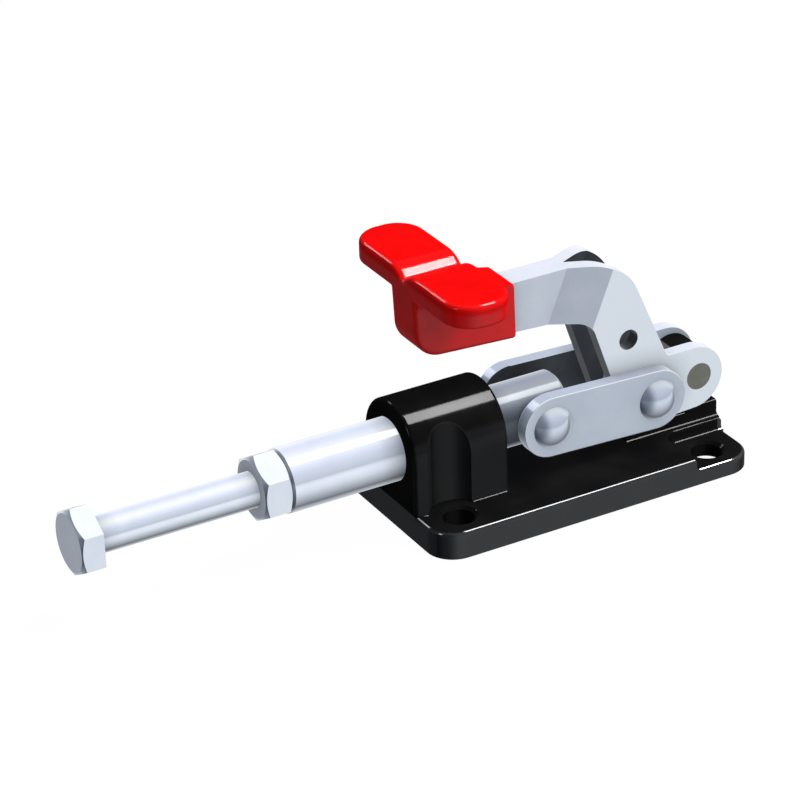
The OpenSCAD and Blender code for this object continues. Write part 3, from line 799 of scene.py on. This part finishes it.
def one_skin(name, parts, net_mm, rounds):
    """Joins closed meshes that overlap into one even net, relaxed, that takes the place of a node."""
    mesh = bpy.data.meshes.new(name + "_parts")
    whole = bmesh.new()
    for part in parts:
        part.to_mesh(mesh)
        part.free()
        whole.from_mesh(mesh)
    whole.to_mesh(mesh)
    whole.free()
    rough = bpy.data.objects.new(name + "_rough", mesh)
    bpy.context.scene.collection.objects.link(rough)
    net = rough.modifiers.new("net", "REMESH")
    net.mode = "VOXEL"
    net.voxel_size = net_mm * MM
    relax = rough.modifiers.new("relax", "SMOOTH")
    relax.factor = 0.5
    relax.iterations = rounds
    graph = bpy.context.evaluated_depsgraph_get()
    skin = bpy.data.meshes.new_from_object(rough.evaluated_get(graph))
    bpy.data.objects.remove(rough)
    skin.materials.clear()
    skin.materials.append(finish_of[name])
    skin.shade_smooth()
    piece = bpy.data.objects.new(name + "_moulded", skin)
    stands_for(piece, name)
    print(name, "moulded:", len(skin.polygons), "faces")


one_skin("grip", [wings(), sleeve(), root_fillet(-1), root_fillet(1)], GRIP_NET_MM, 2)

# %% [markdown]
# ## The studio
# Metal and gloss paint show little colour of their own: what is seen is the room. The photograph has an even
# white ground, one square lamp overhead, which draws the crisp streak on the barrel, and two weaker ones, on the
# far side and ahead, which draw the white lines along the rounded edges. The sides get only what the sky and the
# ground throw back. The ground looks evenly white to the camera, but it lights the clamp as a darker paper would,
# because a lit white sheet would wash out the black paint.

# %% Floor
FLOOR_HALF = 4.0
GROUND_LIT, PAPER_DRIFT = 0.16, 1.02
GROUND_SEEN, SEEN_SHARE = 1.14, 0.86
floor_mesh = bpy.data.meshes.new("floor")
corners = [(-1, -1), (1, -1), (1, 1), (-1, 1)]
floor_mesh.from_pydata([(x * FLOOR_HALF, y * FLOOR_HALF, 0) for x, y in corners], [], [(0, 1, 2, 3)])
floor = bpy.data.objects.new("floor", floor_mesh)
bpy.context.scene.collection.objects.link(floor)
floor.location.z = -0.2 * MM

ground = Finish("white_ground", Roughness=0.9)
seen, refracted = ground.outputs("LightPath", None, "Is Camera Ray", "Is Transmission Ray")
paper, paper_light = ([level] * 3 + [1] for level in (GROUND_LIT, GROUND_LIT * PAPER_DRIFT))
ground.set("Base Color", ground.blend(ground.noise(30, detail=2).step(0.3, 0.7), paper, paper_light))
glow = ground.node("Emission", None, {"Color": (1, 1, 1, 1), "Strength": GROUND_SEEN})
ground.cover((seen + refracted) * SEEN_SHARE, glow)
floor_mesh.materials.append(ground.material)
floor.visible_glossy = False
print("floor:", 2 * FLOOR_HALF, "m wide,", round(-floor.location.z / MM, 1), "mm under the clamp")

# %% [markdown]
# The plated bars say what room they stand in: each line along a bar mirrors one direction. Going round from
# straight down, past the far horizon, over the top to the near horizon and down again, the room is dark, jumps to
# white at the far edge of the ground, has its brightest band just overhead, dims towards the near horizon, jumps
# once more and fades again. One ramp over that angle holds it. Faces that look ahead, such as the hexagons' fronts,
# mirror a part of the room that is much darker, so the ramp is dimmed there. What lights the clamp is another,
# weaker sky, which comes mostly from the near side and from behind.

# %% The room as metal mirrors it
# Angle in degrees from straight up, positive to the near side, and the brightness that metal mirrors there
ROOM = [(-180, 0.2), (-163, 0.48), (-145, 0.62), (-121, 0.54), (-100, 1.1), (-76, 1.03), (-52, 0.95),
        (-34, 1.0), (-16, 1.12), (2, 1.21), (16, 1.16), (33, 1.0), (52, 0.84), (72, 0.75), (87, 0.66), (91, 0.9),
        (101, 1.0), (113, 0.95), (123, 0.86), (136, 0.69), (150, 0.53), (164, 0.38), (180, 0.2)]
# How much red, green and blue it loses ahead of the clamp
AHEAD_LOSS = (0.73, 0.71, 0.675)

world = bpy.data.worlds.new("studio")
bpy.context.scene.world = world
world.use_nodes = True


class Sky(Finish):
    """The world's node tree, built with the same calls as a material's."""

    def __init__(self, world):
        self.tree = world.node_tree
        self.shader = self.tree.nodes["Background"]


sky = Sky(world)
direction = sky.node("TexCoord", output="Generated")
towards_work, near_side, height = sky.outputs("SeparateXYZ", [direction], "X", "Y", "Z")
round_the_bar = near_side.math("ARCTAN2", height) / math.tau + 0.5
ramp = sky.node("ValToRGB", None, [round_the_bar])
stops = ramp.socket.node.color_ramp.elements
while len(stops) < len(ROOM):
    stops.new(1)
for stop, (angle, bright) in zip(stops, ROOM):
    stop.position = angle / 360 + 0.5
    blue = 1.11 if abs(angle) < 90 else 1.055
    stop.color = (bright * (0.96 if bright < 1 else 1.0), bright, min(bright * blue, 1.12), 1)
ahead = towards_work.step(0.0, 0.75)
room = sky.multiply(ramp, *(1 - loss * ahead for loss in AHEAD_LOSS))
print("the room's ramp has", len(stops), "stops")

# %% The sky that lights the clamp
# Its colours low down and high on the near side, as multiples of SKY_LIGHT, and what it loses ahead of the clamp
SKY_LIGHT = 0.33
LOW_SKY, SIDE_SKY, AHEAD_LIT_LOSS = (0.5, 0.51, 0.53), (6.3, 6.4, 6.45), 0.45

in_mirror, in_camera = sky.outputs("LightPath", None, "Is Glossy Ray", "Is Camera Ray")
from_the_side = (near_side.step(-0.3, 0.9) * height.step(0.0, 0.7) * (1 - 0.9 * towards_work.step(-0.2, 0.6))
                 * (0.67 + 0.33 * height.step(0.35, 0.6)))
low_sky, side_sky = ([SKY_LIGHT * share for share in shares] + [1] for shares in (LOW_SKY, SIDE_SKY))
lit = sky.blend(from_the_side, low_sky, side_sky)
lit = sky.blend(AHEAD_LIT_LOSS * towards_work.step(0.0, 0.6), lit, (0, 0, 0, 1))
plain = sky.blend(in_camera, lit, (1, 1, 1, 1))
sky.set("Color", sky.blend(in_mirror, plain, room))
sky.set("Strength", 1.0)
print("sky:", len(sky.tree.nodes), "nodes")


# %% [markdown]
# The lamps are rectangles of light in three places: overhead, on the far side and ahead. Overhead there are two at
# once: the key lights what is dull, and the streak is seen only in what is glossy, so each can be as strong as its
# own task needs. Faint twins of the streak and of the rim lamp serve the plated parts. Lamps that share a place
# stand at different distances, because two in exactly the same plane would hide one another in a mirror.

# %% Lamps
def softbox(name, direction, reach, width, height, watts, long_axis=(1, 0, 0), shines=True, glints=True):
    """A rectangle of light that looks at the clamp from a direction, with its width along long_axis."""
    data = bpy.data.lights.new(name, "AREA")
    data.shape = "RECTANGLE"
    data.size = width
    data.size_y = height
    data.energy = watts
    lamp = bpy.data.objects.new(name, data)
    bpy.context.scene.collection.objects.link(lamp)
    away = Vector(direction).normalized()
    side = (Vector(long_axis) - Vector(long_axis).dot(away) * away).normalized()
    lamp.matrix_world = Matrix((side, away.cross(side), away)).transposed().to_4x4()
    lamp.location = target + reach * away
    lamp.visible_diffuse = shines
    lamp.visible_glossy = glints
    return lamp


OVERHEAD, BEHIND, AHEAD = (-0.465, 0.1, 0.88), (0.27, -0.774, 0.574), (0.87, 0.16, 0.465)
RIM_AXIS = (0.354, 0, -0.167)
key = softbox("key", OVERHEAD, 2.5, 0.56, 1.0, 46.0, glints=False)
streak = softbox("streak", OVERHEAD, 2.4, 0.54, 0.96, 150.0, shines=False)
rim = softbox("rim", BEHIND, 2.5, 1.0, 0.45, 36.0, long_axis=RIM_AXIS, shines=False)
front = softbox("front", AHEAD, 2.5, 0.5, 0.8, 14.0, long_axis=(0, 1, 0), shines=False)
soft_streak = softbox("soft_streak", OVERHEAD, 2.3, 0.52, 0.92, 1.9, shines=False)
soft_rim = softbox("soft_rim", BEHIND, 2.4, 0.96, 0.43, 0.9, long_axis=RIM_AXIS, shines=False)
print("lamps:", [lamp.name for lamp in (key, streak, rim, front, soft_streak, soft_rim)])

# %% [markdown]
# The plated parts mirror the room, and a lamp that is bright enough to streak black paint would burn them out. A
# photographer hides it from them with a flag. Blender's light linking does the same: the lamps shine only on
# what is in their collection, and the two faint ones draw their lines on the plunger and on the links. No piece
# shows in another piece's mirror, as in the photograph.

# %% Flags
def flagged(name, lamps, materials):
    """Lets lamps shine only on the pieces whose first material is one of these."""
    lit_pieces = bpy.data.collections.new(name)
    for piece in bpy.data.objects:
        if piece.type == "MESH" and piece.data.materials[0] in materials:
            lit_pieces.objects.link(piece)
    for lamp in lamps:
        lamp.light_linking.receiver_collection = lit_pieces


flagged("lit_by_the_lamps", (key, streak, rim, front), (black_paint, red_plastic, ground.material))
flagged("lit_by_the_soft_streak", (soft_streak,), (zinc_plunger,))
flagged("lit_by_the_soft_rim", (soft_rim,), (zinc_sheet,))
for piece in bpy.data.objects:
    if piece.type == "MESH" and piece != floor:
        piece.visible_glossy = False

# %% Picture settings
bpy.context.scene.view_settings.view_transform = "Standard"
